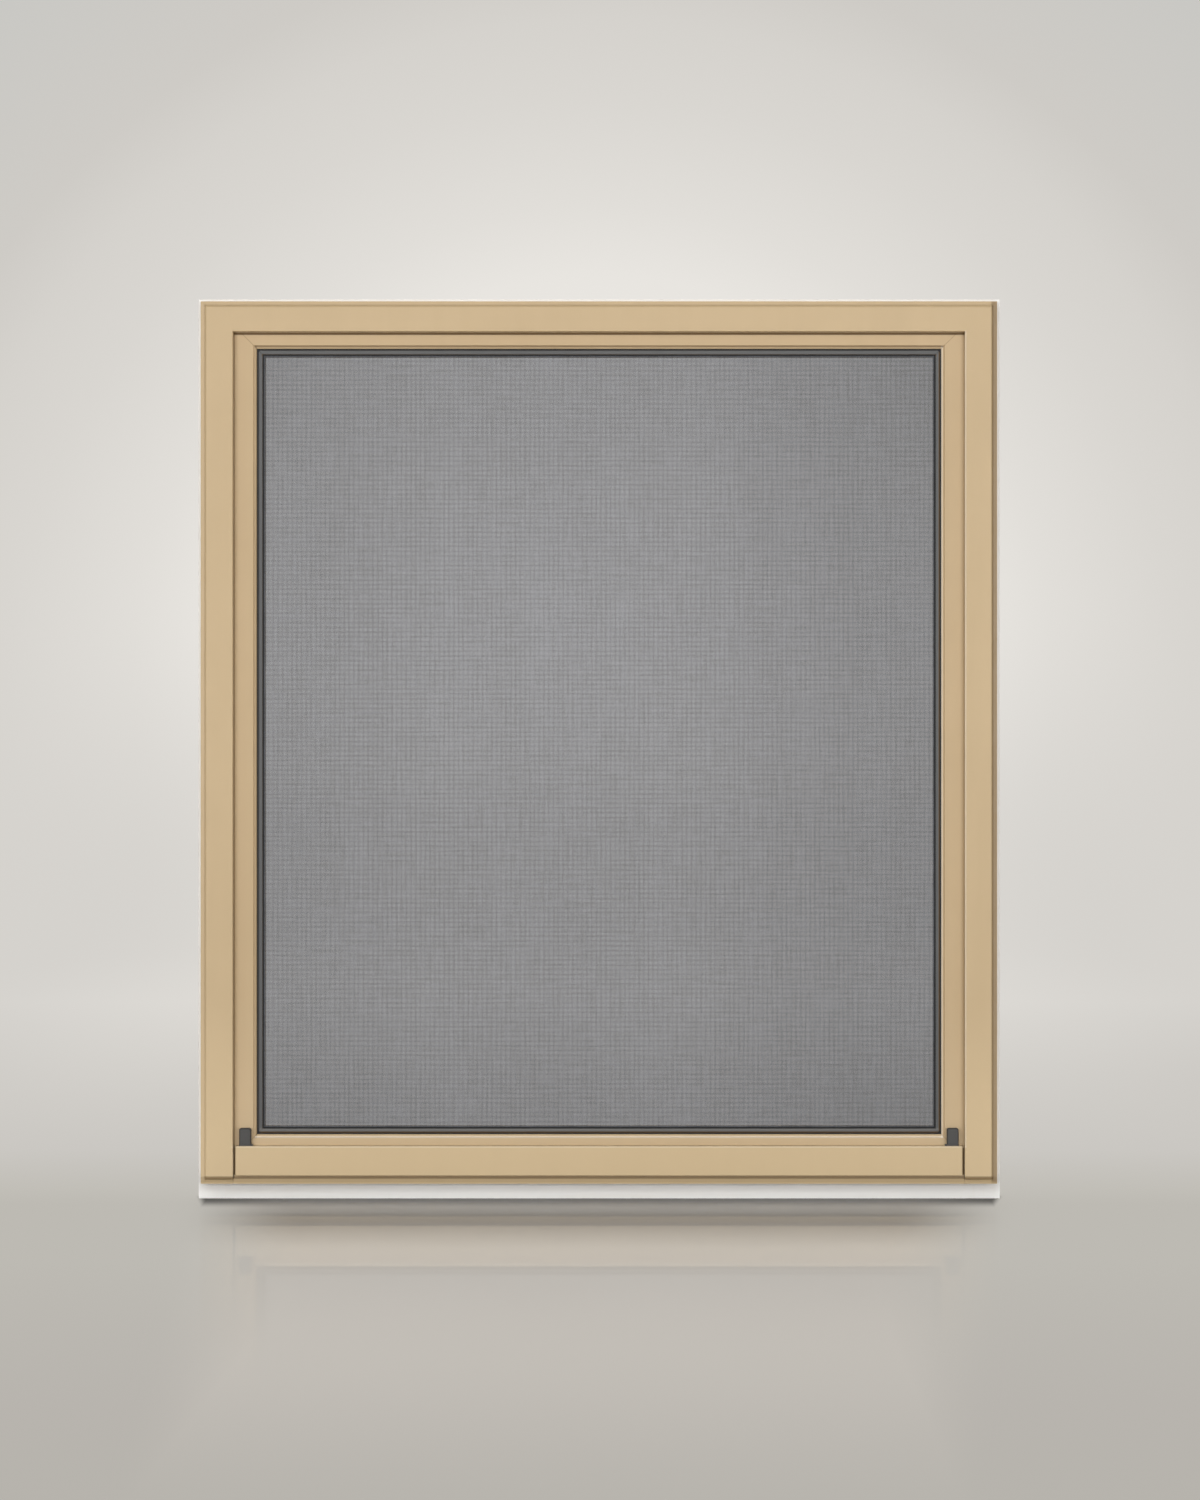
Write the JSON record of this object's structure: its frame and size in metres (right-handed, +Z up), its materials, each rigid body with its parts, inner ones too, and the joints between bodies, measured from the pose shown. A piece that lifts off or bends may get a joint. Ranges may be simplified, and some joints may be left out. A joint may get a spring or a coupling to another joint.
{
  "type": "fixed storm window",
  "caption": "Rectangular fixed storm window: white base frame, tan aluminium cladding and sash, insect screen in front of a single pane, snap-in glazing beads behind",
  "frame": {"origin": "middle of the bottom of the overall box, on the surface the window stands on", "axes": "+X to the right seen from outdoors, +Y indoors, +Z up"},
  "size_m": [0.805, 0.082, 0.903],
  "materials": {
    "white_paint": "white satin paint on pine",
    "tan_coating": "tan satin powder coat on extruded aluminium",
    "charcoal_coating": "charcoal baked coating on rolled aluminium",
    "grey_plastic": "dark grey moulded plastic",
    "packer_plastic": "moulded packer plastic",
    "key_aluminium": "mill aluminium",
    "screw_steel": "zinc-plated steel",
    "black_rubber": "matt black rubber",
    "mesh_cloth": "grey coated glass-fibre insect mesh",
    "clear_glass": "clear float glass"
  },
  "bodies": {
    "root": {"base_head": "white_paint", "base_left_jamb": "white_paint", "base_right_jamb": "white_paint", "base_sill": "white_paint", "frame_screws": "screw_steel", "sash_packers": "packer_plastic", "cladding_head": "tan_coating", "cladding_left_jamb": "tan_coating", "cladding_right_jamb": "tan_coating", "cladding_sill": "tan_coating", "sill_cover_rail": "tan_coating", "left_corner_stop": "grey_plastic", "right_corner_stop": "grey_plastic", "sash_top_rail": "tan_coating", "sash_bottom_rail": "tan_coating", "sash_left_stile": "tan_coating", "sash_right_stile": "tan_coating", "sash_corner_keys": "key_aluminium", "screen_top_bar": "charcoal_coating", "screen_bottom_bar": "charcoal_coating", "screen_left_bar": "charcoal_coating", "screen_right_bar": "charcoal_coating", "screen_corner_keys": "packer_plastic", "screen_seal": "black_rubber", "screen_spline": "black_rubber", "insect_mesh": "mesh_cloth", "storm_glass": "clear_glass", "glass_setting_blocks": "black_rubber", "exterior_glazing_tape": "black_rubber", "interior_glazing_wedge": "black_rubber", "glazing_bead_top": "tan_coating", "glazing_bead_bottom": "tan_coating", "glazing_bead_left": "tan_coating", "glazing_bead_right": "tan_coating", "front_weatherstrip": "black_rubber", "rear_weatherstrip": "black_rubber"}
  },
  "joints": []
}
